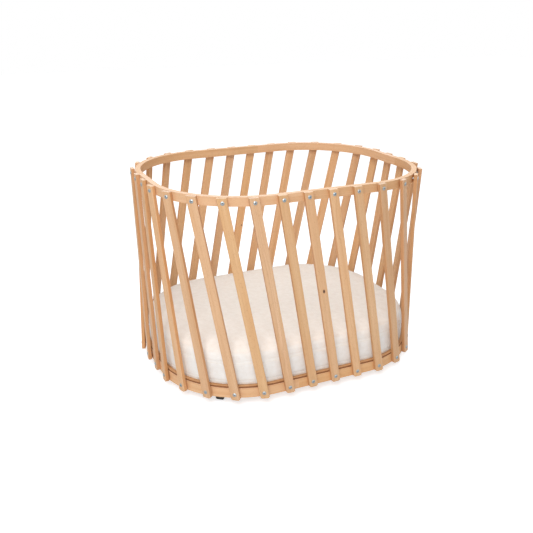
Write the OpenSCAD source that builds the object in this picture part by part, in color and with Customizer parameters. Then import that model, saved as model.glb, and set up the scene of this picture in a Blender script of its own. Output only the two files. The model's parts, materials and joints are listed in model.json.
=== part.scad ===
// Oval baby crib: two bent beech rings joined by leaning slats, a plywood base, a mattress and four casters.
// Millimetres. +X runs along the length, the front faces -Y, and z = 0 is the floor that the wheels stand on.

/* [Rings] */
// Length over the outer face of the rings
ring_l = 930; // [800:1:1200]
// Width over the outer face of the rings
ring_w = 736; // [660:1:900]
// Outer radius of the corners of the rings
corner_r = 293; // [240:1:320]
// Thickness of the rings, from the outer to the inner face
ring_t = 18; // [16:0.5:24]
// Height of the top ring
top_ring_h = 28; // [26:1:45]
// Height of the bottom ring
bottom_ring_h = 33.5; // [32:0.5:60]
// Distance past the corner of the joints in the ends of the rings
end_joint_in = 12; // [4:1:40]
// Distance past the corner of the joints in the long sides of the rings
side_joint_in = 84; // [20:1:120]

/* [Heights] */
// Height of the crib, from the floor to the top ring's top face
crib_h = 690.5; // [560:0.5:850]
// Gap between the floor and the bottom ring
floor_gap = 31; // [28:0.5:40]

/* [Slats] */
// Width of a slat
slat_w = 30; // [24:0.5:36]
// Thickness of a slat
slat_t = 12; // [10:0.5:16]
// Rounding of a slat's long edges
slat_edge_r = 2; // [0.5:0.5:4]
// Rounding of a slat's bottom corners
slat_foot_r = 8; // [2:0.5:11]
// How far a slat's foot stands past its head, along the ring's inner side
slat_lean = 112.5; // [0:0.5:140]
// Distance from the middle of the front to the first slat's head, along the ring's inner side
first_slat = 15; // [-40:0.5:40]
// Gap between a slat and the closest point of a ring
slat_seat_gap = 0.05; // [0.05:0.05:0.5]
// How far the slats reach below the bottom ring's underside
slat_foot_down = 1; // [0:0.5:5]

/* [Screws] */
// Distance of the upper screws below the top ring's top face
top_screw_down = 15; // [11:0.5:17]
// Height of the lower screws above the bottom ring's underside
bottom_screw_up = 19; // [12:0.5:22]
// Diameter of the screws' shank
screw_d = 5; // [4:0.5:6]
// Diameter of the screws' head
screw_head_d = 12; // [8:0.5:13]
// Height of the screws' head
screw_head_h = 2.4; // [1.6:0.1:3]
// Depth of the screws in the ring
screw_grip = 13; // [9:0.5:14]
// Width across flats of the hexagon socket
socket_af = 3.5; // [2.5:0.5:4]

/* [Base and mattress] */
// Thickness of the base board
board_t = 6; // [5:0.5:15]
// Setback of the board's edge from the rings' outer face
board_inset = 2; // [1:0.5:6]
// Thickness of the mattress
mattress_t = 121; // [60:0.5:140]
// Setback of the mattress from the rings' outer face
mattress_inset = 13; // [10:0.5:30]
// Thickness of the mattress cover
cover_t = 2; // [1:0.5:5]

/* [Casters] */
// Diameter of a wheel
wheel_d = 36; // [30:1:38]
// Width of a wheel
wheel_w = 24; // [14:0.5:25]
// Distance from a caster's swivel axis to its wheel's axle
caster_trail = 15; // [12:0.5:18]
// Distance from the rings' inner face to a swivel axis
caster_in = 37; // [37:1:120]
// Angle round the corner, from facing the long side to a caster
caster_angle = 38; // [20:1:70]
// Height of a caster, from the floor to the top of its plate
caster_h = 50; // [48:0.5:51]
// Side of the square caster plate
plate_w = 44; // [44:1:56]
// Thickness of the caster plate and the fork
caster_steel_t = 2.5; // [2:0.25:3]
// Diameter of the kingpin
kingpin_d = 8; // [6:0.5:10]
// Diameter of the axle
axle_d = 6; // [4:0.5:8]
// Radial clearance of the kingpin and the axle
running_gap = 0.05; // [0.02:0.01:0.1]
// Side of a square caster block
block_w = 84; // [72:1:100]
// Diameter of the plate screws' shank
plate_screw_d = 4; // [3:0.5:4.5]

/* [Hidden] */
$fn = 64;
TOP_RINGS = [for (i = [1:4]) str("top_ring_", i)];
BOTTOM_RINGS = [for (i = [1:4]) str("bottom_ring_", i)];
SLATS = [for (i = [1:32]) str("slat_", i < 10 ? "0" : "", i)];
FORKS = [for (i = [1:4]) str("caster_fork_", i)];
WHEELS = [for (i = [1:4]) str("caster_wheel_", i)];
AXLES = [for (i = [1:4]) str("caster_axle_", i)];
SINGLES = ["top_screws", "bottom_screws", "base_board", "mattress_core", "mattress_cover", "caster_blocks",
    "caster_plates", "caster_screws"];

beech = [0.87, 0.69, 0.49];
steel = [0.72, 0.73, 0.74];
black = [0.09, 0.09, 0.1];

// Plan of the rings: half sizes, and the centre of the corner in +X +Y
half_l = ring_l / 2;
half_w = ring_w / 2;
corner_x = half_l - corner_r;
corner_y = half_w - corner_r;

// Levels
top_ring_z = crib_h - top_ring_h;
bottom_ring_z = floor_gap;
board_z = floor_gap + bottom_ring_h;
mattress_z = board_z + board_t;
head_z = crib_h - top_screw_down;
foot_z = floor_gap + bottom_screw_up;

// The line that the slats are spaced on runs just inside the rings
line_inset = ring_t + 2;
line_r = corner_r - line_inset;
arc_len = line_r * PI / 2;
side_len = 2 * corner_x;
end_len = 2 * corner_y;
lap = 2 * side_len + 2 * end_len + 4 * arc_len;
pitch = lap / len(SLATS);

// The point of the rings' outer face at distance u round the spacing line, anticlockwise from the middle of the
// front
function wrapped(u) = u - lap * floor(u / lap);
function turned(p, a) = [p[0] * cos(a) - p[1] * sin(a), p[0] * sin(a) + p[1] * cos(a)];
function half_point(u) =
    let (past_side = u - side_len / 2, past_arc = past_side - arc_len, past_end = past_arc - end_len,
        past_arc_2 = past_end - arc_len)
    past_side < 0 ? [u, -half_w] :
    past_arc < 0 ? [corner_x, -corner_y] + corner_r * turned([0, -1], 90 * past_side / arc_len) :
    past_end < 0 ? [half_l, past_arc - corner_y] :
    past_arc_2 < 0 ? [corner_x, corner_y] + corner_r * turned([1, 0], 90 * past_end / arc_len) :
    [corner_x - past_arc_2, half_w];
function plan_point(u) = let (v = wrapped(u)) v < lap / 2 ? half_point(v) : -half_point(v - lap / 2);

// A slat stands flat in the upright plane through its head and foot, moved out until it clears both rings
function head_u(i) = first_slat + pitch * i;
function foot_u(i) = head_u(i) + slat_lean;
function run(i) = plan_point(foot_u(i)) - plan_point(head_u(i));
function facing(i) =
    let (d = norm(run(i)) > 1 ? run(i) : plan_point(head_u(i) + 1) - plan_point(head_u(i) - 1))
    atan2(d[1], d[0]);
function outward(i) = [sin(facing(i)), -cos(facing(i))];
function reach_past(i, u) = (plan_point(u) - plan_point(head_u(i))) * outward(i);
rise = head_z - foot_z;
foot_round_past = 0.3;
function lean(i) = atan(norm(run(i)) / rise);
function half_cut_w(i) = slat_w / 2 / cos(lean(i));
function head_reach(i) = half_cut_w(i) + (top_ring_h - top_screw_down) * tan(lean(i));
function foot_reach(i) = half_cut_w(i) + (bottom_ring_h - bottom_screw_up) * tan(lean(i));
function seat(i) = slat_seat_gap + max(
    max([for (s = [0:1:head_reach(i)]) reach_past(i, head_u(i) + s)]),
    max([for (s = [0:1:foot_reach(i)]) reach_past(i, foot_u(i) - s)]));

// Joints in the rings
side_joint_x = corner_x - side_joint_in;
end_joint_y = corner_y - end_joint_in;
far = ring_l + ring_w;

// Casters
wheel_z = wheel_d / 2;
plate_z = caster_h - caster_steel_t;
plate_screw_head_h = 2;
swivel_gap = 0.5;
crown_z = plate_z - plate_screw_head_h - swivel_gap - caster_steel_t;
kingpin_head_h = 2;
kingpin_head_gap = 0.2;
arm_gap = 1;
arm_w = 14;
fork_in = wheel_w / 2 + arm_gap;
fork_w = 2 * (fork_in + caster_steel_t);
axle_head_d = axle_d + 4;
axle_head_h = 1.5;
hub_r = axle_d / 2 + 3.5;
tyre_round = 3;
plate_screw_at = plate_w / 2 - 5.5;
plate_screw_l = board_z - plate_z - 6.5;
plate_screw_head_d = plate_screw_d * 1.8;
block_gap = 0.5;
caster_reach = corner_r - ring_t - caster_in;
caster_x = corner_x + caster_reach * sin(caster_angle);
caster_y = corner_y + caster_reach * cos(caster_angle);
caster_at = [for (s = [[-1, -1], [1, -1], [1, 1], [-1, 1]]) [s[0] * caster_x, s[1] * caster_y]];
// Heading of each caster's trailing wheel
trail_angle = [-128, 128, 38, 141];

// An upright block with the rings' plan, inset from their outer face
module oval(inset, z, h) {
    r = corner_r - inset;
    translate([0, 0, z]) linear_extrude(h) {
        square([2 * (half_l - inset), 2 * corner_y], center = true);
        square([2 * corner_x, 2 * (half_w - inset)], center = true);
        for (x = [-corner_x, corner_x], y = [-corner_y, corner_y]) translate([x, y]) circle(r, $fn = 180);
    }
}

// The part of a ring between two joints: 1 and 3 hold a long side and a corner, 2 and 4 an end and a corner
module ring_sector(i) {
    rotate(i > 2 ? 180 : 0) translate(i % 2 == 1 ? [-side_joint_x, -far - end_joint_y, -1]
        : [side_joint_x, -end_joint_y, -1]) cube([far, far, crib_h + 2]);
}

module ring_segment(i, z, h, screw_z) {
    color(beech) difference() {
        intersection() {
            difference() {
                oval(0, z, h);
                oval(ring_t, z - 1, h + 2);
            }
            ring_sector(i);
        }
        for (k = [0:len(SLATS) - 1]) screw_place(k, screw_z) screw_shank();
    }
}

// Moves to the slat's frame at a screw's height: X along the ring, Y outwards from the slat's inner face, Z up
module screw_place(i, z) {
    p = plan_point(z == head_z ? head_u(i) : foot_u(i)) + seat(i) * outward(i);
    translate([p[0], p[1], z]) rotate(facing(i)) mirror([0, 1, 0]) children();
}

module screw_shank() {
    rotate([90, 0, 0]) translate([0, 0, -slat_t]) cylinder(d = screw_d, h = slat_t + screw_grip);
}

module screw() {
    color(steel) translate([0, slat_t, 0]) rotate([90, 0, 0]) difference() {
        union() {
            cylinder(d = screw_d, h = slat_t + screw_grip);
            translate([0, 0, -screw_head_h / 2]) cylinder(d = screw_head_d, h = screw_head_h / 2);
            translate([0, 0, -screw_head_h])
                cylinder(d1 = screw_head_d * 0.72, d2 = screw_head_d, h = screw_head_h / 2);
        }
        translate([0, 0, -screw_head_h - 1])
            cylinder(d = socket_af / cos(30), h = screw_head_h + 1.8, $fn = 6);
    }
}

// Cross-section of a slat, X across its width and Y from its inner to its outer face
module slat_section() {
    r = slat_edge_r;
    translate([-slat_w / 2, r]) square([slat_w, slat_t - 2 * r]);
    translate([-slat_w / 2 + r, 0]) square([slat_w - 2 * r, slat_t]);
    for (x = [-1, 1], y = [r, slat_t - r]) translate([x * (slat_w / 2 - r), y]) circle(r, $fn = 32);
}

// What a rounding takes off a corner at p, between edges along the unit vectors e and f. Its circle stands a
// little past both edges, so that it crosses them and isn't tangent to them
module corner_waste(p, e, f) {
    middle_in = slat_foot_r - foot_round_past;
    half_angle = acos(e * f) / 2;
    bisector = (e + f) / norm(e + f);
    middle = p + bisector * middle_in / sin(half_angle);
    along = middle_in / tan(half_angle) - sqrt(pow(slat_foot_r, 2) - pow(middle_in, 2));
    difference() {
        polygon([middle, 1.5 * (p + e * along) - 0.5 * middle, p - bisector * slat_foot_r,
            1.5 * (p + f * along) - 0.5 * middle]);
        translate(middle) circle(slat_foot_r);
    }
}

// What is cut off a slat's face, X along the ring and Y upwards from the head's screw: level ends, round feet
module slat_face_waste(i) {
    a = lean(i);
    head = crib_h - head_z;
    foot = floor_gap - slat_foot_down - head_z;
    foot_x = -foot * tan(a);
    half = half_cut_w(i);
    up_slat = [-sin(a), cos(a)];
    translate([-crib_h, head]) square([2 * crib_h, crib_h]);
    translate([-crib_h, foot - crib_h]) square([2 * crib_h, crib_h]);
    corner_waste([foot_x - half, foot], [1, 0], up_slat);
    corner_waste([foot_x + half, foot], [-1, 0], up_slat);
}

module slat(i) {
    past_end = 2 * slat_w;
    color(beech) difference() {
        screw_place(i, head_z) difference() {
            rotate([0, -lean(i), 0]) translate([0, 0, -rise / cos(lean(i)) - past_end])
                linear_extrude(rise / cos(lean(i)) + 2 * past_end) slat_section();
            translate([0, slat_t + 1, 0]) rotate([90, 0, 0]) linear_extrude(slat_t + 2) slat_face_waste(i);
        }
        screw_place(i, head_z) screw_shank();
        screw_place(i, foot_z) screw_shank();
    }
}

module base_board() {
    color([0.8, 0.62, 0.42]) oval(board_inset, board_z, board_t);
}

module mattress_body(skin) {
    oval(mattress_inset + skin, mattress_z + skin, mattress_t - 2 * skin);
}

module mattress_core() {
    color("ivory") mattress_body(cover_t);
}

module mattress_cover() {
    color("linen") difference() {
        mattress_body(0);
        mattress_body(cover_t);
    }
}

module caster_blocks() {
    color(beech) intersection() {
        for (at = caster_at) translate([at[0] - block_w / 2, at[1] - block_w / 2, caster_h])
            difference() {
                cube([block_w, block_w, board_z - caster_h]);
                translate([block_w / 2, block_w / 2, -1]) plate_screw_spots()
                    cylinder(d = plate_screw_d, h = 1 + plate_screw_l - caster_steel_t);
            }
        oval(ring_t + block_gap, 0, crib_h);
    }
}

module plate_screw_spots() {
    for (x = [-1, 1], y = [-1, 1]) translate([x * plate_screw_at, y * plate_screw_at]) children();
}

module caster_plates() {
    color(steel) for (at = caster_at) translate([at[0], at[1], 0]) {
        difference() {
            translate([-plate_w / 2, -plate_w / 2, plate_z]) cube([plate_w, plate_w, caster_steel_t]);
            translate([0, 0, plate_z - 1]) plate_screw_spots()
                cylinder(d = plate_screw_d, h = caster_steel_t + 2);
        }
        translate([0, 0, crown_z - kingpin_head_gap]) cylinder(d = kingpin_d, h = plate_z - crown_z + 1);
        translate([0, 0, crown_z - kingpin_head_gap - kingpin_head_h])
            cylinder(d = kingpin_d + 4, h = kingpin_head_h);
    }
}

module caster_screws() {
    color(steel) for (at = caster_at) translate([at[0], at[1], plate_z]) plate_screw_spots() {
        cylinder(d = plate_screw_d, h = plate_screw_l);
        translate([0, 0, -plate_screw_head_h]) cylinder(d = plate_screw_head_d, h = plate_screw_head_h);
    }
}

// Moves to a caster's frame: X towards the trailing wheel, Y along the axle, Z up
module caster_place(i) {
    at = caster_at[i - 1];
    translate([at[0], at[1], 0]) rotate(trail_angle[i - 1]) children();
}

module caster_fork(i) {
    color(black) caster_place(i) difference() {
        union() {
            translate([0, 0, crown_z]) cylinder(d = fork_w, h = caster_steel_t);
            translate([0, -fork_w / 2, crown_z]) cube([caster_trail, fork_w, caster_steel_t]);
            for (y = [-fork_w / 2, fork_in]) {
                translate([caster_trail - arm_w / 2, y, wheel_z])
                    cube([arm_w, caster_steel_t, crown_z + caster_steel_t - wheel_z]);
                translate([caster_trail, y + caster_steel_t, wheel_z]) rotate([90, 0, 0])
                    cylinder(d = arm_w, h = caster_steel_t);
            }
        }
        translate([0, 0, crown_z - 1]) cylinder(d = kingpin_d + 2 * running_gap, h = caster_steel_t + 2);
        axle_bore(fork_w + 2);
    }
}

module axle_bore(long) {
    translate([caster_trail, long / 2, wheel_z]) rotate([90, 0, 0])
        cylinder(d = axle_d + 2 * running_gap, h = long);
}

module caster_axle(i) {
    color(steel) caster_place(i) translate([caster_trail, 0, wheel_z]) rotate([90, 0, 0]) {
        translate([0, 0, -fork_w / 2]) cylinder(d = axle_d, h = fork_w);
        for (side = [0, 1]) mirror([0, 0, side]) translate([0, 0, fork_w / 2])
            cylinder(d = axle_head_d, h = axle_head_h);
    }
}

module caster_wheel(i) {
    r = wheel_d / 2;
    web = wheel_w / 2 - 2.5;
    color(black) caster_place(i) difference() {
        translate([caster_trail, 0, wheel_z]) rotate([90, 0, 0]) rotate_extrude($fn = 96) {
            translate([0, -wheel_w / 2]) square([hub_r, wheel_w]);
            translate([0, -web]) square([r - tyre_round, 2 * web]);
            translate([r - 7, -wheel_w / 2]) square([7 - tyre_round, wheel_w]);
            translate([r - tyre_round - 1, tyre_round - wheel_w / 2])
                square([tyre_round + 1, wheel_w - 2 * tyre_round]);
            for (s = [-1, 1]) translate([r - tyre_round, s * (wheel_w / 2 - tyre_round)])
                circle(tyre_round, $fn = 32);
        }
        axle_bore(wheel_w + 2);
    }
}

module slat_screws(z) {
    for (k = [0:len(SLATS) - 1]) screw_place(k, z) screw();
}

for (i = [1:4]) ring_segment(i, top_ring_z, top_ring_h, head_z);
for (i = [1:4]) ring_segment(i, bottom_ring_z, bottom_ring_h, foot_z);
for (i = [0:len(SLATS) - 1]) slat(i);
for (i = [1:4]) caster_fork(i);
for (i = [1:4]) caster_wheel(i);
for (i = [1:4]) caster_axle(i);
slat_screws(head_z);  // top_screws
slat_screws(foot_z);  // bottom_screws
base_board();
mattress_core();
mattress_cover();
caster_blocks();
caster_plates();
caster_screws();
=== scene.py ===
# Looks of the oval baby crib: materials, a sewn mattress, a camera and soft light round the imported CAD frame.
# Metres. +X runs along the length, the front faces -Y, and z = 0 is the floor.
import json
import math
import random

import bmesh
import bpy
from mathutils import Matrix, Vector, noise
from mathutils.bvhtree import BVHTree


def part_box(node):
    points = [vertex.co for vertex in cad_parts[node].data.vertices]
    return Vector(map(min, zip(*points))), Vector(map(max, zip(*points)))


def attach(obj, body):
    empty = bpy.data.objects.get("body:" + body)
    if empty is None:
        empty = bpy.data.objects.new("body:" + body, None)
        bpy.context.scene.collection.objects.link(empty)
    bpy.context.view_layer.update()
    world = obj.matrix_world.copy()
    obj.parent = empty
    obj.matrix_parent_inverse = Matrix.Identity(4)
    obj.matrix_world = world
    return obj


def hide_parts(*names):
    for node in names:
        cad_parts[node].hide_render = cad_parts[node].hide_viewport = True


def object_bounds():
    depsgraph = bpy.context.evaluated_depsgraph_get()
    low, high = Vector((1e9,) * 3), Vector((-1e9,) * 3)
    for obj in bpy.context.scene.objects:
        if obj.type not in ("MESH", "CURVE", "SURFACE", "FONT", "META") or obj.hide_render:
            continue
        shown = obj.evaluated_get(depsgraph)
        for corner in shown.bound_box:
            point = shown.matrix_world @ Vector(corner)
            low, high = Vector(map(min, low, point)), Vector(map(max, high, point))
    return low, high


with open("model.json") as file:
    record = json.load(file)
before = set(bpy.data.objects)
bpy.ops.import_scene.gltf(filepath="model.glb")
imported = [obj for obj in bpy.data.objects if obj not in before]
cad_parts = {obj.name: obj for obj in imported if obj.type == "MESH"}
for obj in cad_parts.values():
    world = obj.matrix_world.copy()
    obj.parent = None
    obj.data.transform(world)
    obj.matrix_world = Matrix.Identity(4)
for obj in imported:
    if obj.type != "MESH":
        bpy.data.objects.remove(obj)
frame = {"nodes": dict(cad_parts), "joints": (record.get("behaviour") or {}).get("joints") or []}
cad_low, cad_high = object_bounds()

MM = 0.001
scene = bpy.context.scene
NODES = frame["nodes"]
SLATS = sorted(n for n in NODES if n.startswith("slat_"))
TOP_RINGS = sorted(n for n in NODES if n.startswith("top_ring_"))
BOTTOM_RINGS = sorted(n for n in NODES if n.startswith("bottom_ring_"))


# ---------------------------------------------------------------- camera, light and floor

AZIMUTH, ELEVATION, DISTANCE = math.radians(-24.775), math.radians(20.36), 2.5684
AIM = Vector((-0.0294, 0.0135, 0.318))
LENS, SENSOR = 47.79, 36

# The world's colour, its strength for soft light and in reflections, and the lamps' places, sizes and watts
AMBIENT_COLOUR, WHITE = (1.0, 0.965, 0.92, 1), (1, 1, 1, 1)
AMBIENT, SHINE = 0.41, 1.5
KEY_AT, KEY_SIZE, KEY_POWER = (-1.8, -2.5, 3.0), 2.2, 86.0
TOP_AT, TOP_SIZE, TOP_POWER = (0.2, 0.4, 3.6), 3.0, 48.0
# The floor's half width, its colour, and its own light as the object and as the camera get it
FLOOR_HALF, FLOOR_COLOUR, FLOOR_GLOW = 12.0, (0.70, 0.74, 0.80, 1), (0.2, 0.66)


def make_camera():
    data = bpy.data.cameras.new("camera")
    data.lens, data.sensor_width = LENS, SENSOR
    data.clip_start, data.clip_end = 0.05, 100
    cam = bpy.data.objects.new("camera", data)
    back = Vector((math.sin(AZIMUTH) * math.cos(ELEVATION), -math.cos(AZIMUTH) * math.cos(ELEVATION),
                   math.sin(ELEVATION)))
    cam.location = AIM + back * DISTANCE
    cam.rotation_euler = (-back).to_track_quat("-Z", "Y").to_euler()
    scene.collection.objects.link(cam)
    scene.camera = cam


def area_light(name, place, target, size, power):
    data = bpy.data.lights.new(name, "AREA")
    data.shape, data.size, data.energy = "DISK", size, power
    lamp = bpy.data.objects.new(name, data)
    lamp.location = Vector(place)
    lamp.rotation_euler = (Vector(target) - lamp.location).to_track_quat("-Z", "Y").to_euler()
    scene.collection.objects.link(lamp)


def make_studio():
    scene.view_settings.view_transform = "Standard"
    world = bpy.data.worlds.new("studio")
    scene.world = world
    world.use_nodes = True
    g = Graph(world.node_tree)
    backdrop = world.node_tree.nodes["Background"]
    path = g.add("LightPath").outputs
    ambient = g.mix_value(path["Is Glossy Ray"], AMBIENT, SHINE)
    g.feed(backdrop.inputs["Color"], g.mix(path["Is Camera Ray"], AMBIENT_COLOUR, WHITE))
    g.feed(backdrop.inputs["Strength"], g.mix_value(path["Is Camera Ray"], ambient, 1.0))
    area_light("key", KEY_AT, (0, 0, 0.3), KEY_SIZE, KEY_POWER)
    area_light("top", TOP_AT, (0, 0, 0.4), TOP_SIZE, TOP_POWER)
    floor = bpy.data.meshes.new("floor")
    corners = [(x * FLOOR_HALF, y * FLOOR_HALF, 0) for x, y in ((-1, -1), (1, -1), (1, 1), (-1, 1))]
    floor.from_pydata(corners, [], [(0, 1, 2, 3)])
    floor_object = bpy.data.objects.new("floor", floor)
    scene.collection.objects.link(floor_object)
    white = bpy.data.materials.new("white floor")
    white.use_nodes = True
    paint = white.node_tree.nodes["Principled BSDF"]
    paint.inputs["Base Color"].default_value = FLOOR_COLOUR
    paint.inputs["Roughness"].default_value = 0.9
    paint.inputs["Emission Color"].default_value = WHITE
    g = Graph(white.node_tree)
    seen = g.add("LightPath").outputs["Is Camera Ray"]
    g.feed(paint.inputs["Emission Strength"], g.mix_value(seen, *FLOOR_GLOW))
    floor.materials.append(white)


# ---------------------------------------------------------------- node graphs

def srgb(r, g, b):
    """A colour given as 0 to 255 sRGB, as linear RGBA."""
    def linear(v):
        v /= 255
        return v / 12.92 if v <= 0.04045 else ((v + 0.055) / 1.055) ** 2.4
    return (linear(r), linear(g), linear(b), 1)


class Graph:
    """A node tree, with one short call for each kind of node that the materials use."""

    def __init__(self, tree):
        self.tree = tree

    def feed(self, socket, source):
        if source is None:
            return
        if isinstance(source, bpy.types.NodeSocket):
            self.tree.links.new(source, socket)
        else:
            socket.default_value = source

    def add(self, kind, *sources, **settings):
        node = self.tree.nodes.new("ShaderNode" + kind)
        for key, value in settings.items():
            setattr(node, key, value)
        for socket, source in zip(node.inputs, sources):
            self.feed(socket, source)
        return node

    def math(self, operation, a, b=None, c=None, clamp=False):
        return self.add("Math", a, b, c, operation=operation, use_clamp=clamp).outputs[0]

    def vector(self, operation, a, b=None):
        node = self.add("VectorMath", a, b, operation=operation)
        return node.outputs["Value" if operation in ("DOT_PRODUCT", "LENGTH") else "Vector"]

    def split(self, vector):
        return self.add("SeparateXYZ", vector).outputs

    def join(self, x, y, z):
        return self.add("CombineXYZ", x, y, z).outputs[0]

    def noise(self, vector, scale, seed=0.0, detail=2.0, rough=0.5, distortion=0.0):
        """Noise between about 0 and 1. scale is cells per metre on each axis."""
        node = self.tree.nodes.new("ShaderNodeTexNoise")
        node.noise_dimensions = "4D"
        self.feed(node.inputs["Vector"], self.vector("MULTIPLY", vector, scale))
        self.feed(node.inputs["W"], seed)
        node.inputs["Scale"].default_value = 1.0
        node.inputs["Detail"].default_value = detail
        node.inputs["Roughness"].default_value = rough
        node.inputs["Distortion"].default_value = distortion
        return node.outputs[0]

    def spread(self, value, low, high, to_low=0.0, to_high=1.0):
        """Maps low..high to to_low..to_high, clamped."""
        node = self.tree.nodes.new("ShaderNodeMapRange")
        for name, number in zip(("From Min", "From Max", "To Min", "To Max"), (low, high, to_low, to_high)):
            self.feed(node.inputs[name], number)
        self.feed(node.inputs["Value"], value)
        return node.outputs[0]

    def mix(self, factor, a, b, mode="MIX"):
        node = self.tree.nodes.new("ShaderNodeMix")
        node.data_type, node.blend_type = "RGBA", mode
        self.feed(node.inputs[0], factor)
        self.feed(node.inputs[6], a)
        self.feed(node.inputs[7], b)
        return node.outputs[2]

    def mix_value(self, factor, a, b):
        node = self.tree.nodes.new("ShaderNodeMix")
        node.data_type = "FLOAT"
        self.feed(node.inputs[0], factor)
        self.feed(node.inputs[2], a)
        self.feed(node.inputs[3], b)
        return node.outputs[0]

    def bump(self, height, strength, distance):
        node = self.tree.nodes.new("ShaderNodeBump")
        node.inputs["Strength"].default_value = strength
        node.inputs["Distance"].default_value = distance
        self.feed(node.inputs["Height"], height)
        return node.outputs[0]


def new_material(name, metallic=0.0, specular=0.5, sheen=0.0):
    """A material, its graph and its shader."""
    material = bpy.data.materials.new(name)
    material.use_nodes = True
    shader = material.node_tree.nodes["Principled BSDF"]
    shader.inputs["Metallic"].default_value = metallic
    shader.inputs["Specular IOR Level"].default_value = specular
    if sheen:
        shader.inputs["Sheen Weight"].default_value = sheen
        shader.inputs["Sheen Roughness"].default_value = 0.5
    return material, Graph(material.node_tree), shader


def finish_shader(g, shader, colour, roughness, normal):
    g.feed(shader.inputs["Base Color"], colour)
    g.feed(shader.inputs["Roughness"], roughness)
    g.feed(shader.inputs["Normal"], normal)


def new_group(name, inputs, outputs):
    """A node group. inputs and outputs are (name, socket type) pairs."""
    tree = bpy.data.node_groups.new(name, "ShaderNodeTree")
    for label, kind in inputs:
        tree.interface.new_socket(label, in_out="INPUT", socket_type="NodeSocket" + kind)
    for label, kind in outputs:
        tree.interface.new_socket(label, in_out="OUTPUT", socket_type="NodeSocket" + kind)
    given, out = tree.nodes.new("NodeGroupInput").outputs, tree.nodes.new("NodeGroupOutput").inputs
    return tree, Graph(tree), given, out


def put_group(g, tree, **sources):
    node = g.tree.nodes.new("ShaderNodeGroup")
    node.node_tree = tree
    for label, source in sources.items():
        g.feed(node.inputs[label], source)
    return node.outputs


# ---------------------------------------------------------------- beech

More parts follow.
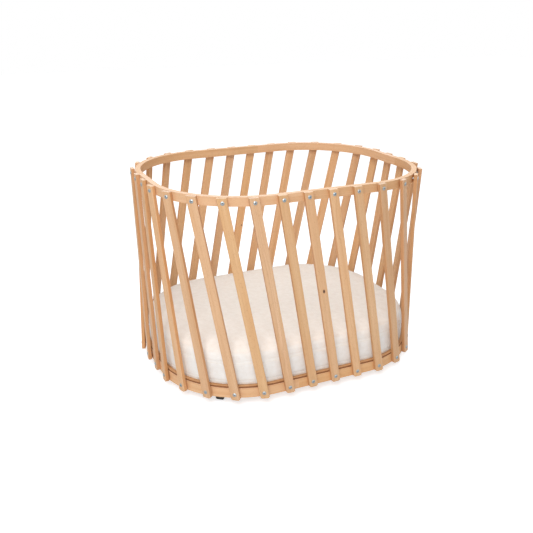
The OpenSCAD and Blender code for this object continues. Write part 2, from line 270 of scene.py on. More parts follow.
def beech_group():
    """Oiled beech. Place is in metres: x across the face, y through the thickness, z along the grain."""
    tree, g, given, out = new_group(
        "beech",
        [("Place", "Vector"), ("Seed", "Float"), ("Pith", "Float"), ("End", "Float"), ("Side", "Float"),
         ("Knot", "Vector")],
        [("Color", "Color"), ("Roughness", "Float"), ("Height", "Float")])
    place, seed, end = given["Place"], given["Seed"], given["End"]
    # The grain bends round the knot
    x, y, z = g.split(place)
    knot_x, knot_z, knot_size = g.split(given["Knot"])
    from_x = g.math("DIVIDE", g.math("SUBTRACT", x, knot_x), knot_size)
    from_z = g.math("DIVIDE", g.math("SUBTRACT", z, knot_z), g.math("MULTIPLY", knot_size, 1.7))
    knot_far = g.math("SQRT", g.math("ADD", g.math("POWER", from_x, 2.0), g.math("POWER", from_z, 2.0)))
    bend = g.math("MULTIPLY", g.math("EXPONENT", g.math("MULTIPLY", knot_far, -0.7)),
                  g.math("MULTIPLY", g.math("SIGN", from_x), g.math("MULTIPLY", knot_size, -0.8)))
    bent = g.join(g.math("ADD", x, bend), y, z)
    # Growth rings: distance from a pith beside the board, warped slowly along the grain
    warp = g.noise(bent, (22, 22, 2.2), seed, 3)
    bx, by, _ = g.split(bent)
    ring_x = g.math("ADD", bx, g.math("MULTIPLY", given["Pith"], 0.16))
    pith_in = g.math("MULTIPLY", g.math("ABSOLUTE", given["Pith"]), 0.05)
    ring_y = g.math("ADD", by, g.math("SUBTRACT", 0.075, pith_in))
    radius = g.math("SQRT", g.math("ADD", g.math("POWER", ring_x, 2.0), g.math("POWER", ring_y, 2.0)))
    radius = g.math("ADD", radius, g.math("MULTIPLY", warp, 0.034))
    cycle = g.math("FRACT", g.math("MULTIPLY", radius, 290.0))
    late = g.math("POWER", cycle, 4.0)
    width_change = g.noise(g.join(radius, 0.0, 0.0), (120, 1, 1), seed, 1)
    late = g.math("MULTIPLY", late, g.spread(width_change, 0.35, 0.7, 0.15, 1.0))
    # Bands, streaks, ray flecks and pores, each long along the grain
    band = g.noise(bent, (75, 75, 2.4), seed, 3, 0.55)
    streak = g.noise(bent, (520, 520, 9), seed, 2, 0.6)
    fleck = g.spread(g.noise(bent, (900, 900, 210), seed, 1, 0.5), 0.6, 0.74)
    pore = g.noise(bent, (2600, 2600, 90), seed, 1)
    blotch = g.noise(bent, (14, 14, 5), seed, 2)
    colour = g.mix(g.spread(band, 0.3, 0.7), srgb(*BEECH_LIGHT), srgb(*BEECH_DARK))
    colour = g.mix(g.math("MULTIPLY", late, 0.42), colour, srgb(*BEECH_LATE))
    colour = g.mix(g.spread(streak, 0.42, 0.75, 0.0, 0.34), colour, srgb(*BEECH_STREAK))
    colour = g.mix(g.math("MULTIPLY", fleck, 0.5), colour, srgb(*BEECH_FLECK))
    colour = g.mix(g.spread(pore, 0.55, 0.8, 0.0, 0.22), colour, srgb(*BEECH_FLECK))
    colour = g.mix(g.spread(blotch, 0.35, 0.75, 0.0, 0.30), colour, srgb(*BEECH_WARM))
    # Painted shade in part: the slats' narrow sawn faces are tinted darker, part their own tone from soaking up
    # more oil than the planed faces and part painted shade where they stand against the rings, and the rings'
    # lower faces take the tint as painted shade
    colour = g.mix(g.math("MULTIPLY", given["Side"], 0.85), colour, g.mix(1.0, colour, DARK_EDGE_AND_SHADE_TINT, "MULTIPLY"))
    # Cut ends are sanded pale, with pores seen end on, and the same pale colour stands as a painted highlight
    # on faces lit from above
    dots = g.noise(place, (1500, 1500, 1500), seed, 1)
    cut_face_and_lit_top_colour = g.mix(g.spread(dots, 0.45, 0.7), srgb(*BEECH_CUT_FACE_AND_LIT_TOP), srgb(*BEECH_FLECK))
    colour = g.mix(g.math("MULTIPLY", end, 0.75), colour, cut_face_and_lit_top_colour)
    # The knot: a dark eye with a paler halo
    eye = g.spread(knot_far, 0.55, 1.15, 1.0, 0.0)
    halo = g.spread(knot_far, 1.0, 2.6, 0.45, 0.0)
    colour = g.mix(halo, colour, srgb(*BEECH_WARM))
    colour = g.mix(eye, colour, srgb(66, 38, 24))
    g.feed(out["Color"], colour)
    rough = g.math("ADD", g.spread(band, 0.3, 0.7, 0.40, 0.48), g.math("MULTIPLY", streak, 0.08))
    g.feed(out["Roughness"], g.math("ADD", rough, g.math("MULTIPLY", end, 0.15)))
    height = g.math("ADD", g.math("MULTIPLY", streak, 0.5), g.math("MULTIPLY", pore, 0.35))
    height = g.math("SUBTRACT", height, g.math("MULTIPLY", late, 0.12))
    g.feed(out["Height"], g.math("SUBTRACT", height, g.math("MULTIPLY", eye, 0.5)))
    return tree


BEECH_LIGHT, BEECH_DARK, BEECH_LATE = (222, 184, 143), (207, 162, 116), (172, 120, 76)
BEECH_STREAK, BEECH_FLECK = (190, 140, 96), (156, 104, 66)
# The last colour is for sanded cut ends, and is also a painted highlight on upward faces
BEECH_WARM, BEECH_CUT_FACE_AND_LIT_TOP = (210, 156, 108), (240, 220, 198)
# Tint for the slats' narrow faces, part their own darker edge and part painted shade, and painted shade on the
# rings' lower faces
DARK_EDGE_AND_SHADE_TINT = (0.85, 0.71, 0.57, 1)
# A knot far off the wood, for pieces without one
NO_KNOT = (9.0, 9.0, 0.004)


def wood_material(name, group, place_of, seed, pith, tone, faces_of=None, knot=NO_KNOT):
    """place_of(g) makes the grain's coordinates; tone is a factor on the colour's red, green and blue."""
    material, g, shader = new_material(name, specular=0.42)
    # Masks for the pale cut ends with a painted highlight on lit tops, and for the darker narrow faces with
    # painted shade
    end, side = faces_of(g) if faces_of else (0.0, 0.0)
    wood = put_group(g, group, Place=place_of(g), Seed=seed, Pith=pith, End=end, Side=side, Knot=knot)
    colour = g.mix(1.0, wood["Color"], (*tone, 1), "MULTIPLY")
    finish_shader(g, shader, colour, wood["Roughness"], g.bump(wood["Height"], 0.35, 0.15 * MM))
    return material


def slat_axes(node):
    """Where a slat's middle is, and the directions across its face, through it, and up along it."""
    vertices = [v.co for v in NODES[node].data.vertices]
    low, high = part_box(node)
    head = [v for v in vertices if v.z > high.z - MM]
    foot = [v for v in vertices if v.z < low.z + 12 * MM]
    top = (Vector(map(min, *head)) + Vector(map(max, *head))) / 2
    bottom = (Vector(map(min, *foot)) + Vector(map(max, *foot))) / 2
    along = (top - bottom).normalized()
    level = Vector((along.x, along.y, 0)).normalized()
    through = level.cross(Vector((0, 0, 1))).normalized()
    return (top + bottom) / 2, through.cross(along).normalized(), through, along


def slat_place(node):
    middle, across, through, along = slat_axes(node)
    turn = Matrix((across, through, along)).to_euler("XYZ")

    def place(g):
        here = g.add("TexCoord").outputs["Object"]
        shifted = g.vector("SUBTRACT", here, tuple(middle))
        mapping = g.tree.nodes.new("ShaderNodeMapping")
        mapping.inputs["Rotation"].default_value = turn
        g.feed(mapping.inputs["Vector"], shifted)
        return mapping.outputs[0]

    def faces(g):
        normal = g.add("TexCoord").outputs["Normal"]
        # Cut ends take the pale colour, partly as a painted highlight from above
        ends = g.math("ABSOLUTE", g.vector("DOT_PRODUCT", normal, tuple(along)))
        # Narrow faces take the dark tint, partly as painted shade
        dark_edge_and_shade = g.math("ABSOLUTE", g.vector("DOT_PRODUCT", normal, tuple(across)))
        return g.spread(ends, 0.5, 0.85), g.spread(dark_edge_and_shade, 0.55, 0.9)

    return place, faces


def plan(node_names):
    """Half sizes of a rounded rectangle in plan and the centre of its corner, from its nodes' vertices."""
    vertices = [v.co for n in node_names for v in NODES[n].data.vertices]
    half_x, half_y = max(v.x for v in vertices), max(v.y for v in vertices)
    corner_x = max(v.x for v in vertices if v.y > half_y - 0.01 * MM)
    corner_y = max(v.y for v in vertices if v.x > half_x - 0.01 * MM)
    return half_x, half_y, corner_x, corner_y


def ring_place(names, which, thickness):
    """Coordinates that follow the bent ring: across it, up it and along it. which is 1 to 4, the segment."""
    half_x, _, corner_x, corner_y = plan(names)
    radius = half_x - corner_x
    low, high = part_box(names[0])

    def place(g):
        x, y, z = g.split(g.add("TexCoord").outputs["Object"])
        past_x = g.math("SUBTRACT", g.math("ABSOLUTE", x), corner_x)
        past_y = g.math("SUBTRACT", g.math("ABSOLUTE", y), corner_y)
        turn_x, turn_y = g.math("MAXIMUM", past_x, 0.0), g.math("MAXIMUM", past_y, 0.0)
        out = g.math("SQRT", g.math("ADD", g.math("POWER", turn_x, 2.0), g.math("POWER", turn_y, 2.0)))
        across = g.math("SUBTRACT", out, radius - thickness / 2)
        arc = g.math("MULTIPLY", g.math("ARCTAN2", turn_x, turn_y), radius)
        s = g.math("ADD", g.math("MINIMUM", past_x, 0.0), arc)
        s = g.math("SUBTRACT", s, g.math("MINIMUM", past_y, 0.0))
        if which % 2:
            along = g.math("MULTIPLY", g.math("SIGN", x), g.math("ADD", s, corner_x))
        else:
            along = g.math("MULTIPLY", g.math("SIGN", y),
                           g.math("SUBTRACT", radius * math.pi / 2 + corner_y, s))
        return g.join(g.math("SUBTRACT", z, (low.z + high.z) / 2), across, along)

    return place


def ring_lit_tops_shaded_bottoms(g):
    """Painted light on the rings: their upward faces get the pale cut-end colour as a painted highlight, though
    the grain runs along them, and their lower faces get the dark tint as painted shade.
    """
    up = g.split(g.add("TexCoord").outputs["Normal"])[2]
    return g.spread(up, 0.5, 0.85, 0.0, 0.7), g.spread(g.math("MULTIPLY", up, -1.0), 0.5, 0.85)


def paint_wood():
    """Each slat and ring segment is its own board, with its own tone, grain and seed."""
    group = beech_group()
    rng = random.Random(11)

    def tone(base, spread):
        light = base + rng.uniform(-spread, spread)
        warm = rng.uniform(-0.03, 0.03)
        return (light + 0.4 * warm, light, light - 2.5 * warm)

    for node in SLATS:
        place, faces = slat_place(node)
        knot = KNOTS.get(node, NO_KNOT)
        material = wood_material(node + "_beech", group, place, rng.uniform(0, 40), rng.uniform(-1, 1),
                                 tone(SLAT_TONE, 0.06), faces, knot)
        NODES[node].material_slots[0].material = material
    for names, base in ((TOP_RINGS, RING_TONES[0]), (BOTTOM_RINGS, RING_TONES[1])):
        for i, node in enumerate(names, 1):
            place, seed, pith = ring_place(names, i, RING_THICKNESS), rng.uniform(0, 40), rng.uniform(-1, 1)
            shade = [a * b for a, b in zip(tone(base, 0.03), SEGMENT_TINTS[i % 2])]
            material = wood_material(node + "_beech", group, place, seed, pith, shade, ring_lit_tops_shaded_bottoms)
            NODES[node].material_slots[0].material = material
    return group


SLAT_TONE, RING_TONES = 1.09, (1.10, 1.17)
# The segments of a ring are paler and more golden by turns
SEGMENT_TINTS = ((1.04, 1.04, 1.07), (0.97, 0.93, 0.86))
RING_THICKNESS = 18 * MM
# Knots: their place across and along the slat from its middle, and their size
KNOTS = {"slat_32": (0.0019, 0.0017, 0.0042), "slat_16": (-0.0074, 0.0092, 0.0022)}


def paint_board(group):
    """Plywood: veneer faces with the grain along the crib, darkened as painted shade from the mattress above,
    and plies that show as stripes along its edge.
    """
    low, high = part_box("base_board")
    material, g, shader = new_material("plywood", specular=0.35)
    here = g.add("TexCoord").outputs["Object"]
    x, y, z = g.split(here)
    face = put_group(g, group, Place=g.join(y, z, x), Seed=3.0, Pith=0.2, End=0.0, Side=0.0, Knot=NO_KNOT)
    up = g.math("DIVIDE", g.math("SUBTRACT", z, low.z), high.z - low.z)
    wobble = g.math("MULTIPLY", g.noise(here, (30, 30, 400), 1.0), 0.05)
    ply = g.math("FRACT", g.math("MULTIPLY", g.math("ADD", up, wobble), 3.5))
    cross = g.math("GREATER_THAN", ply, 0.5)
    glue = g.spread(g.math("ABSOLUTE", g.math("SUBTRACT", ply, 0.5)), 0.0, 0.07, 1.0, 0.0)
    fibre = g.noise(here, (160, 160, 2400), 2.0, 2)
    pores = g.noise(here, (1400, 1400, 1400), 4.0, 1)
    edge = g.mix(cross, srgb(168, 114, 72), srgb(124, 76, 44))
    edge = g.mix(g.spread(fibre, 0.35, 0.7, 0.0, 0.45), edge, srgb(150, 98, 60))
    edge = g.mix(g.spread(pores, 0.5, 0.75, 0.0, 0.5), edge, srgb(120, 76, 46))
    edge = g.mix(g.math("MULTIPLY", glue, 0.7), edge, srgb(104, 62, 36))
    normal = g.add("TexCoord").outputs["Normal"]
    level = g.spread(g.math("ABSOLUTE", g.split(normal)[2]), 0.4, 0.8)
    # Painted shade: the veneer face is darkened for the mattress's shade over it
    veneer = g.mix(1.0, face["Color"], (0.92, 0.83, 0.74, 1), "MULTIPLY")
    colour = g.mix(level, edge, veneer)
    height = g.math("ADD", fibre, g.math("MULTIPLY", pores, 0.5))
    finish_shader(g, shader, colour, g.mix_value(level, 0.68, 0.5), g.bump(height, 0.3, 0.2 * MM))
    NODES["base_board"].material_slots[0].material = material


def paint_blocks(group):
    def place(g):
        x, y, z = g.split(g.add("TexCoord").outputs["Object"])
        return g.join(y, z, x)
    material = wood_material("raw_block", group, place, 17.0, 0.5, (0.92, 0.9, 0.87))
    NODES["caster_blocks"].material_slots[0].material = material


# ---------------------------------------------------------------- metal and rubber

def paint_steel(name, nodes, shade, rough):
    """Zinc-plated steel: fine random scratches, cloudy plating and a little dulling."""
    material, g, shader = new_material(name, metallic=1.0)
    here = g.add("TexCoord").outputs["Object"]
    cloud = g.noise(here, (160, 160, 160), 1.0, 3)
    scratch = g.noise(here, (900, 4200, 900), 2.0, 2, 0.7)
    grime = g.spread(g.noise(here, (60, 60, 60), 5.0, 2), 0.5, 0.75)
    colour = g.mix(g.spread(cloud, 0.3, 0.7), srgb(*shade), srgb(*(0.86 * c for c in shade)))
    colour = g.mix(g.math("MULTIPLY", grime, 0.3), colour, srgb(120, 116, 110))
    roughness = g.math("ADD", g.spread(cloud, 0.3, 0.7, rough - 0.06, rough + 0.06),
                       g.math("MULTIPLY", scratch, 0.12))
    finish_shader(g, shader, colour, roughness, g.bump(scratch, 0.12, 0.05 * MM))
    for node in nodes:
        NODES[node].material_slots[0].material = material


def paint_forks():
    """Black powder coat with its orange-peel texture, rubbed a little paler in places."""
    material, g, shader = new_material("powder_coat", specular=0.5)
    here = g.add("TexCoord").outputs["Object"]
    peel = g.noise(here, (1100, 1100, 1100), 1.0, 2)
    rub = g.spread(g.noise(here, (90, 90, 90), 6.0, 3), 0.55, 0.78)
    colour = g.mix(g.math("MULTIPLY", rub, 0.5), srgb(26, 26, 28), srgb(58, 58, 60))
    finish_shader(g, shader, colour, g.spread(peel, 0.3, 0.7, 0.38, 0.52), g.bump(peel, 0.35, 0.12 * MM))
    for i in range(1, 5):
        NODES[f"caster_fork_{i}"].material_slots[0].material = material


def paint_wheels():
    """A nylon hub, and a rubber tyre that has picked up dust where it rolls."""
    for i in range(1, 5):
        node = f"caster_wheel_{i}"
        low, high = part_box(node)
        middle, radius = (low + high) / 2, (high.z - low.z) / 2
        joint = next(j for j in frame["joints"] if j["name"] == f"wheel_roll_{i}")
        axis = Vector(joint["axis"]).normalized()
        material, g, shader = new_material(node + "_rubber", specular=0.4)
        here = g.vector("SUBTRACT", g.add("TexCoord").outputs["Object"], tuple(middle))
        aside = g.vector("DOT_PRODUCT", here, tuple(axis))
        length = g.vector("LENGTH", here)
        out = g.math("SQRT", g.math("SUBTRACT", g.math("POWER", length, 2.0), g.math("POWER", aside, 2.0)))
        tread = g.spread(out, 0.90 * radius, 0.985 * radius)
        hub = g.spread(out, 0.60 * radius, 0.62 * radius, 1.0, 0.0)
        grain = g.noise(here, (1500, 1500, 1500), 1.0, 2)
        dust = g.spread(g.noise(here, (260, 260, 260), 3.0, 3), 0.42, 0.72)
        dusty = g.math("MULTIPLY", tread, dust)
        colour = g.mix(g.math("MULTIPLY", dusty, 0.45), srgb(30, 30, 31), srgb(126, 120, 112))
        colour = g.mix(hub, colour, srgb(56, 57, 59))
        rough = g.math("ADD", g.mix_value(hub, 0.62, 0.36), g.math("MULTIPLY", dusty, 0.2))
        finish_shader(g, shader, colour, rough, g.bump(grain, 0.25, 0.12 * MM))
        NODES[node].material_slots[0].material = material


# ---------------------------------------------------------------- mattress

# Heights of the top seam and of the ridge above it, as shares of the thickness, and of the bottom stitch rows
SEAM, RIDGE = 0.645, 0.77
STITCH_ROWS = (6.0 * MM, 17.0 * MM)
# The body before it is filled: its gap to the outline, insets and height shares up its side, and its points
START_IN = 1 * MM
MATTRESS_PROFILE = [(0.000, 0.0), (0.000, 0.30), (0.000, SEAM), (0.000, 0.70), (0.0005, RIDGE), (0.002, 0.85),
                    (0.006, 0.92), (0.013, 0.955), (0.026, 0.975), (0.055, 0.98)]
OUTLINE_POINTS = 240
# The cloth's mesh size, how far it may swell, and how many frames it is filled for
VOXEL, SWELL, FILL_FRAMES = 8 * MM, 7.5 * MM, 20
# Depth and width of the seam's groove and of the roll above it, then the creases and the top's unevenness
GROOVE, GROOVE_WIDE, ROLL, ROLL_WIDE = 2.6 * MM, 3.2 * MM, 1.6 * MM, 7.5 * MM
CREASE, UNEVEN, FINE_UNEVEN = 1.9 * MM, 0.9 * MM, 0.35 * MM
# The crisply sewn bottom edge: how high it reaches and its gap to the outline
EDGE_HIGH, EDGE_IN = 14 * MM, 2 * MM
# Weave and the thread's ply lines
THREAD, PLY_LINE = 1.5 * MM, 0.8 * MM
COTTON_LIGHT, COTTON_DARK = (247, 244, 240), (240, 235, 229)
COTTON_SLUB, COTTON_SHADE = (230, 222, 212), (205, 196, 184)
# Painted light on the side panel: a brighter, cooler white than the top
COTTON_PANEL_PAINTED_LIGHT = (1.02, 1.06, 1.09, 1)
# One stitch: where along it, then how far off the cloth and how thick, as shares of the thread's width
STITCH = ((0.0, -0.5, 0.4), (0.22, 0.55, 0.95), (0.5, 0.8, 1.0), (0.78, 0.55, 0.95), (1.0, -0.5, 0.4))
# Straight rows on each side of the top seam, this far from it
SEAM_ROW = 5 * MM


def outline_point(half_x, half_y, corner_x, corner_y, inset, s):
    """A point on a rounded rectangle and its outward direction, s metres round from the front's middle."""
    radius = half_x - corner_x - inset
    arc = radius * math.pi / 2
    pieces = [(corner_x, 0), (arc, 1), (2 * corner_y, 2), (arc, 3), (2 * corner_x, 4), (arc, 5),
              (2 * corner_y, 6), (arc, 7), (corner_x, 8)]
    s %= outline_length(half_x, corner_x, corner_y, inset)
    for length, kind in pieces:
        if s <= length:
            break
        s -= length
    signs = {1: (1, -1), 3: (1, 1), 5: (-1, 1), 7: (-1, -1)}
    if kind in signs:
        start = {1: -90, 3: 0, 5: 90, 7: 180}[kind]
        angle = math.radians(start) + s / radius
        out = Vector((math.cos(angle), math.sin(angle), 0))
        return Vector((signs[kind][0] * corner_x, signs[kind][1] * corner_y, 0)) + radius * out, out
    x_side, y_side = half_x - inset, half_y - inset
    place = {0: (s, -y_side), 2: (x_side, -corner_y + s), 4: (corner_x - s, y_side),
             6: (-x_side, corner_y - s), 8: (-corner_x + s, -y_side)}[kind]
    out = {0: (0, -1), 2: (1, 0), 4: (0, 1), 6: (-1, 0), 8: (0, -1)}[kind]
    return Vector((*place, 0)), Vector((*out, 0))


def outline_length(half_x, corner_x, corner_y, inset):
    return 4 * (corner_x + corner_y) + 2 * math.pi * (half_x - corner_x - inset)


def mesh_object(name, mesh):
    thing = bpy.data.objects.new(name, mesh)
    scene.collection.objects.link(thing)
    return thing


def applied(thing):
    """Replaces an object's mesh by what its modifiers make of it."""
    graph = bpy.context.evaluated_depsgraph_get()
    result = bpy.data.meshes.new_from_object(thing.evaluated_get(graph))
    thing.modifiers.clear()
    thing.data = result
    return result


def mattress_start(shape, base_z, height):
    """The closed body that is remeshed and inflated, a little smaller than the mattress."""
    profile = [(START_IN + inset, base_z + z * height) for inset, z in MATTRESS_PROFILE]
    count = OUTLINE_POINTS
    length = outline_length(shape[0], shape[2], shape[3], 0)
    build = bmesh.new()
    rows = []
    for inset, z in profile:
        row = []
        for k in range(count):
            point, out = outline_point(*shape, 0, length * k / count)
            row.append(build.verts.new((point.x - out.x * inset, point.y - out.y * inset, z)))
        rows.append(row)
    for lower, upper in zip(rows, rows[1:]):
        for k in range(count):
            build.faces.new((lower[k], lower[(k + 1) % count], upper[(k + 1) % count], upper[k]))
    build.faces.new(list(reversed(rows[0])))
    build.faces.new(rows[-1])
    mesh = bpy.data.meshes.new("mattress")
    build.to_mesh(mesh)
    build.free()
    return mesh


def inflate(thing, base_z, height):
    """Sewn along the bottom edge and the top seam, filled by pressure, held to what the cover can stretch."""
    seam_z = base_z + SEAM * height
    start = [v.co.copy() for v in thing.data.vertices]
    sewn = [i for i, p in enumerate(start) if p.z < base_z + 2 * MM or abs(p.z - seam_z) < 0.6 * VOXEL]
    thing.vertex_groups.new(name="sewn").add(sewn, 1.0, "REPLACE")
    cloth = thing.modifiers.new("cloth", "CLOTH")
    cloth.settings.quality = 5
    cloth.settings.mass = 0.15
    cloth.settings.tension_stiffness = 12
    cloth.settings.compression_stiffness = 12
    cloth.settings.bending_stiffness = 0.6
    cloth.settings.use_pressure = True
    cloth.settings.uniform_pressure_force = 4
    cloth.settings.vertex_group_mass = "sewn"
    cloth.settings.effector_weights.gravity = 0
    cloth.point_cache.frame_start, cloth.point_cache.frame_end = 1, FILL_FRAMES
    for step in range(1, FILL_FRAMES + 1):
        scene.frame_set(step)
    result = applied(thing)
    scene.frame_set(1)
    for vertex, before in zip(result.vertices, start):
        moved = vertex.co - before
        size = moved.length
        if size > 1e-9:
            vertex.co = before + moved * (SWELL * math.tanh(size / SWELL) / size)


def sharpen_edge(vertex, normal, shape, base_z):
    """Brings a point near the bottom edge back to a flat underside and an upright, crisply sewn side."""
    radius, corner_x, corner_y = shape[0] - shape[2], shape[2], shape[3]
    p = vertex.co
    past = Vector((max(abs(p.x) - corner_x, 0), max(abs(p.y) - corner_y, 0), 0))
    sideways = min(1, max(0, (math.hypot(normal.x, normal.y) - 0.35) / 0.3))
    if past.length and sideways:
        out = Vector((math.copysign(past.x, p.x), math.copysign(past.y, p.y), 0)) / past.length
        inset = radius - past.length
        p += out * sideways * (inset - EDGE_IN)
    down = min(1, max(0, (-normal.z - 0.3) / 0.3))
    p.z -= down * (p.z - base_z)


def shape_mattress(mesh, shape, base_z, height):
    """Seam grooves, soft creases and the flat underside, as moves of the sewn body's points."""
    mesh.update()
    normals = [v.normal.copy() for v in mesh.vertices]
    seam_z = base_z + SEAM * height
    for vertex, normal in zip(mesh.vertices, normals):
        p = vertex.co
        side = max(0.0, 1 - abs(normal.z)) ** 0.5
        around = math.atan2(p.y, p.x)
        # the seam is drawn in, with a soft roll above it
        groove = -GROOVE * math.exp(-((p.z - seam_z) / GROOVE_WIDE) ** 2)
        roll = ROLL * math.exp(-((p.z - base_z - RIDGE * height) / ROLL_WIDE) ** 2)
        # slack cloth between the seams: long slanting creases that come and go round the side
        q = Vector((p.x * 16, p.y * 16, p.z * 34 + 2.2 * math.sin(3 * around)))
        crease = noise.noise(q + Vector((7.1, 2.3, 0))) + 0.5 * noise.noise(q * 2.1)
        patch = 0.5 + 0.5 * noise.noise(Vector((p.x * 3.3, p.y * 3.3, 4.0)))
        slack = math.sin(math.pi * min(1, max(0, (p.z - base_z) / (seam_z - base_z)))) if p.z < seam_z else 0
        wave = CREASE * crease * patch * slack
        # the top isn't quilted, only slightly uneven
        top = (1 - side) * (UNEVEN * noise.noise(Vector((p.x * 9, p.y * 9, 1.5)))
                            + FINE_UNEVEN * noise.noise(Vector((p.x * 27, p.y * 27, 6.5))))
        vertex.co = p + normal * (side * (groove + roll + wave) + top)
        if p.z < base_z + EDGE_HIGH:
            sharpen_edge(vertex, normal, shape, base_z)
        vertex.co.z = min(max(vertex.co.z, base_z + 0.05 * MM), cad_high.z)
    mesh.update()


def cotton_material():
    """Cream woven cotton: two sets of threads, slubs, a few pale fuzzy patches and painted shade between the
    woven threads.
    """
    half_x, _, corner_x, corner_y = plan(["mattress_cover"])
    material, g, shader = new_material("woven_cotton", specular=0.25, sheen=0.25)
    here = g.add("TexCoord").outputs["Object"]
    x, y, z = g.split(here)
    past_x = g.math("SUBTRACT", g.math("ABSOLUTE", x), corner_x)
    past_y = g.math("SUBTRACT", g.math("ABSOLUTE", y), corner_y)
    turned = g.math("ARCTAN2", g.math("MAXIMUM", past_x, 0.0), g.math("MAXIMUM", past_y, 0.0))
    arc = g.math("MULTIPLY", turned, half_x - corner_x)
    around = g.math("ADD", g.math("MINIMUM", past_x, 0.0), arc)
    around = g.math("SUBTRACT", around, g.math("MINIMUM", past_y, 0.0))
    flat = g.spread(g.math("ABSOLUTE", g.split(g.add("TexCoord").outputs["Normal"])[2]), 0.55, 0.7)
    u = g.mix_value(flat, around, x)
    v = g.mix_value(flat, z, y)
    cloth = g.join(u, v, 0.0)
    drift = g.math("MULTIPLY", g.noise(cloth, (90, 90, 1), 3.0, 2), 0.004)
    warp = g.math("SINE", g.math("MULTIPLY", g.math("ADD", u, drift), 2 * math.pi / THREAD))
    weft = g.math("SINE", g.math("MULTIPLY", g.math("ADD", v, drift), 2 * math.pi / THREAD))
    over = g.math("MULTIPLY", warp, weft)
    slub_u = g.noise(cloth, (40, 700, 1), 5.0, 2, 0.6)
    slub_v = g.noise(cloth, (700, 40, 1), 8.0, 2, 0.6)
    fuzz = g.noise(here, (60, 60, 60), 2.0, 3)
    colour = g.mix(g.spread(fuzz, 0.3, 0.7), srgb(*COTTON_LIGHT), srgb(*COTTON_DARK))
    colour = g.mix(g.spread(slub_u, 0.5, 0.78, 0.0, 0.45), colour, srgb(*COTTON_SLUB))
    colour = g.mix(g.spread(slub_v, 0.5, 0.78, 0.0, 0.40), colour, srgb(*COTTON_SLUB))
    # Painted shade in the hollows where the threads cross
    colour = g.mix(g.spread(over, -1.0, 0.2, 0.16, 0.0), colour, srgb(*COTTON_SHADE))
    # Painted light: the side panel is painted a brighter, cooler white than the top, for how the light falls on
    # it
    colour = g.mix(flat, g.mix(1.0, colour, COTTON_PANEL_PAINTED_LIGHT, "MULTIPLY"), colour)
    height = g.math("ADD", g.math("MULTIPLY", over, 0.5), g.math("ADD", slub_u, slub_v))
    roughness = g.spread(over, -1.0, 1.0, 0.95, 0.82)
    finish_shader(g, shader, colour, roughness, g.bump(height, 0.45, 0.28 * MM))
    return material


def thread_material():
    """Twisted cotton thread: fine slanting ply lines over a slightly darker cream."""
    material, g, shader = new_material("cotton_thread", specular=0.3, sheen=0.2)
    here = g.add("TexCoord").outputs["Object"]
    x, y, z = g.split(here)
    slant = g.math("ADD", g.math("ADD", x, y), z)
    twist = g.math("SINE", g.math("MULTIPLY", slant, 2 * math.pi / PLY_LINE))
    fuzz = g.noise(here, (900, 900, 900), 2.0, 2)
    colour = g.mix(g.spread(twist, -1.0, 1.0, 0.0, 0.6), srgb(236, 228, 216), srgb(208, 196, 178))
    colour = g.mix(g.spread(fuzz, 0.4, 0.7, 0.0, 0.4), colour, srgb(244, 239, 230))
    finish_shader(g, shader, colour, g.spread(fuzz, 0.3, 0.7, 0.75, 0.9), g.bump(twist, 0.3, 0.1 * MM))
    return material


def add_stitch(build, start, end, out, width):
    """One stitch: a thread that rises out of the cloth, lies along it and dives back."""
    along = (end - start).normalized()
    side = along.cross(out).normalized()
    rings = []
    for t, lift, girth in STITCH:
        middle = start.lerp(end, t) + out * (lift * width)
        rings.append([build.verts.new(middle + (side * math.cos(a) + out * math.sin(a)) * (girth * width / 2))
                      for a in (math.pi * (2 * k + 1) / 5 for k in range(5))])
    for one, two in zip(rings, rings[1:]):
        for k in range(5):
            build.faces.new((one[k], one[(k + 1) % 5], two[(k + 1) % 5], two[k]))
    build.faces.new(list(reversed(rings[0])))
    build.faces.new(rings[-1])


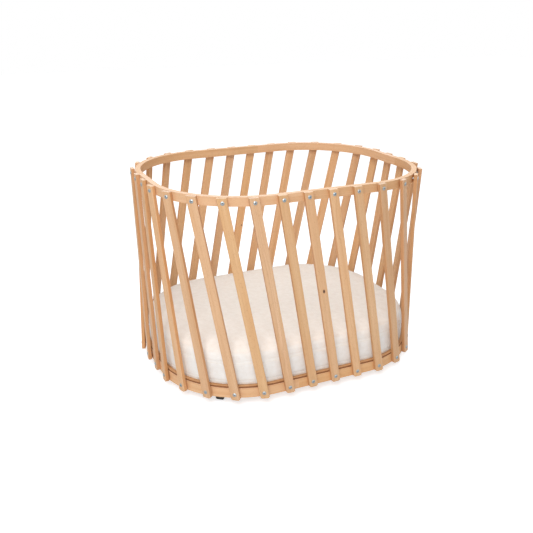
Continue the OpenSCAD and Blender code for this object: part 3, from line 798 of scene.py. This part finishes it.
def make_stitches(mattress, shape, base_z, height):
    """A zigzag row and a straight row near the bottom, and a straight row on each side of the top seam."""
    tree = BVHTree.FromObject(mattress, bpy.context.evaluated_depsgraph_get())
    length = outline_length(shape[0], shape[2], shape[3], 0)
    build = bmesh.new()

    def on_cloth(s, z):
        point, out = outline_point(*shape, 0, s)
        origin = Vector((point.x, point.y, z)) + out * 0.03
        hit, normal, _, _ = tree.ray_cast(origin, -out)
        return hit, normal

    seam_z = base_z + SEAM * height
    rows = [(base_z + STITCH_ROWS[1], 0.0, 4.2 * MM, 0.9 * MM),
            (seam_z - SEAM_ROW, 0.0, 4.0 * MM, 0.8 * MM),
            (seam_z + SEAM_ROW, 0.0, 4.0 * MM, 0.8 * MM),
            (base_z + STITCH_ROWS[0], 2.2 * MM, 3.2 * MM, 0.9 * MM)]
    for z, zigzag, pitch, width in rows:
        count = int(length / pitch)
        for k in range(count):
            s = length * k / count
            if zigzag:
                ends = [(s, z - zigzag), (s + 0.55 * pitch, z + zigzag)]
            else:
                ends = [(s, z), (s + 0.72 * pitch, z)]
            (start, n1), (end, n2) = (on_cloth(*e) for e in ends)
            if start is not None and end is not None:
                add_stitch(build, start, end, (n1 + n2).normalized(), width)
    bmesh.ops.recalc_face_normals(build, faces=build.faces)
    mesh = bpy.data.meshes.new("mattress_stitches")
    build.to_mesh(mesh)
    build.free()
    for face in mesh.polygons:
        face.use_smooth = True
    mesh.materials.append(thread_material())
    stitches = mesh_object("mattress_stitches", mesh)
    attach(stitches, "mattress")


def make_mattress():
    shape = plan(["mattress_cover"])
    low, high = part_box("mattress_cover")
    height = high.z - low.z
    mattress = mesh_object("mattress", mattress_start(shape, low.z, height))
    remesh = mattress.modifiers.new("remesh", "REMESH")
    remesh.mode, remesh.voxel_size, remesh.use_smooth_shade = "VOXEL", VOXEL, True
    applied(mattress)
    inflate(mattress, low.z, height)
    smooth = mattress.modifiers.new("even", "SMOOTH")
    smooth.factor, smooth.iterations = 0.5, 3
    subdivide = mattress.modifiers.new("fine", "SUBSURF")
    subdivide.levels = subdivide.render_levels = 1
    mesh = applied(mattress)
    shape_mattress(mesh, shape, low.z, height)
    for face in mesh.polygons:
        face.use_smooth = True
    mesh.materials.clear()
    mesh.materials.append(cotton_material())
    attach(mattress, "mattress")
    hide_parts("mattress_cover", "mattress_core")
    make_stitches(mattress, shape, low.z, height)


# ---------------------------------------------------------------- everything together

make_camera()
make_studio()
beech = paint_wood()
paint_board(beech)
paint_blocks(beech)
paint_steel("screw_steel", ["top_screws", "bottom_screws", "caster_screws"], (176, 187, 193), 0.28)
axles = [f"caster_axle_{i}" for i in range(1, 5)]
paint_steel("zinc_plate", ["caster_plates"] + axles, (188, 188, 186), 0.42)
paint_forks()
paint_wheels()
make_mattress()
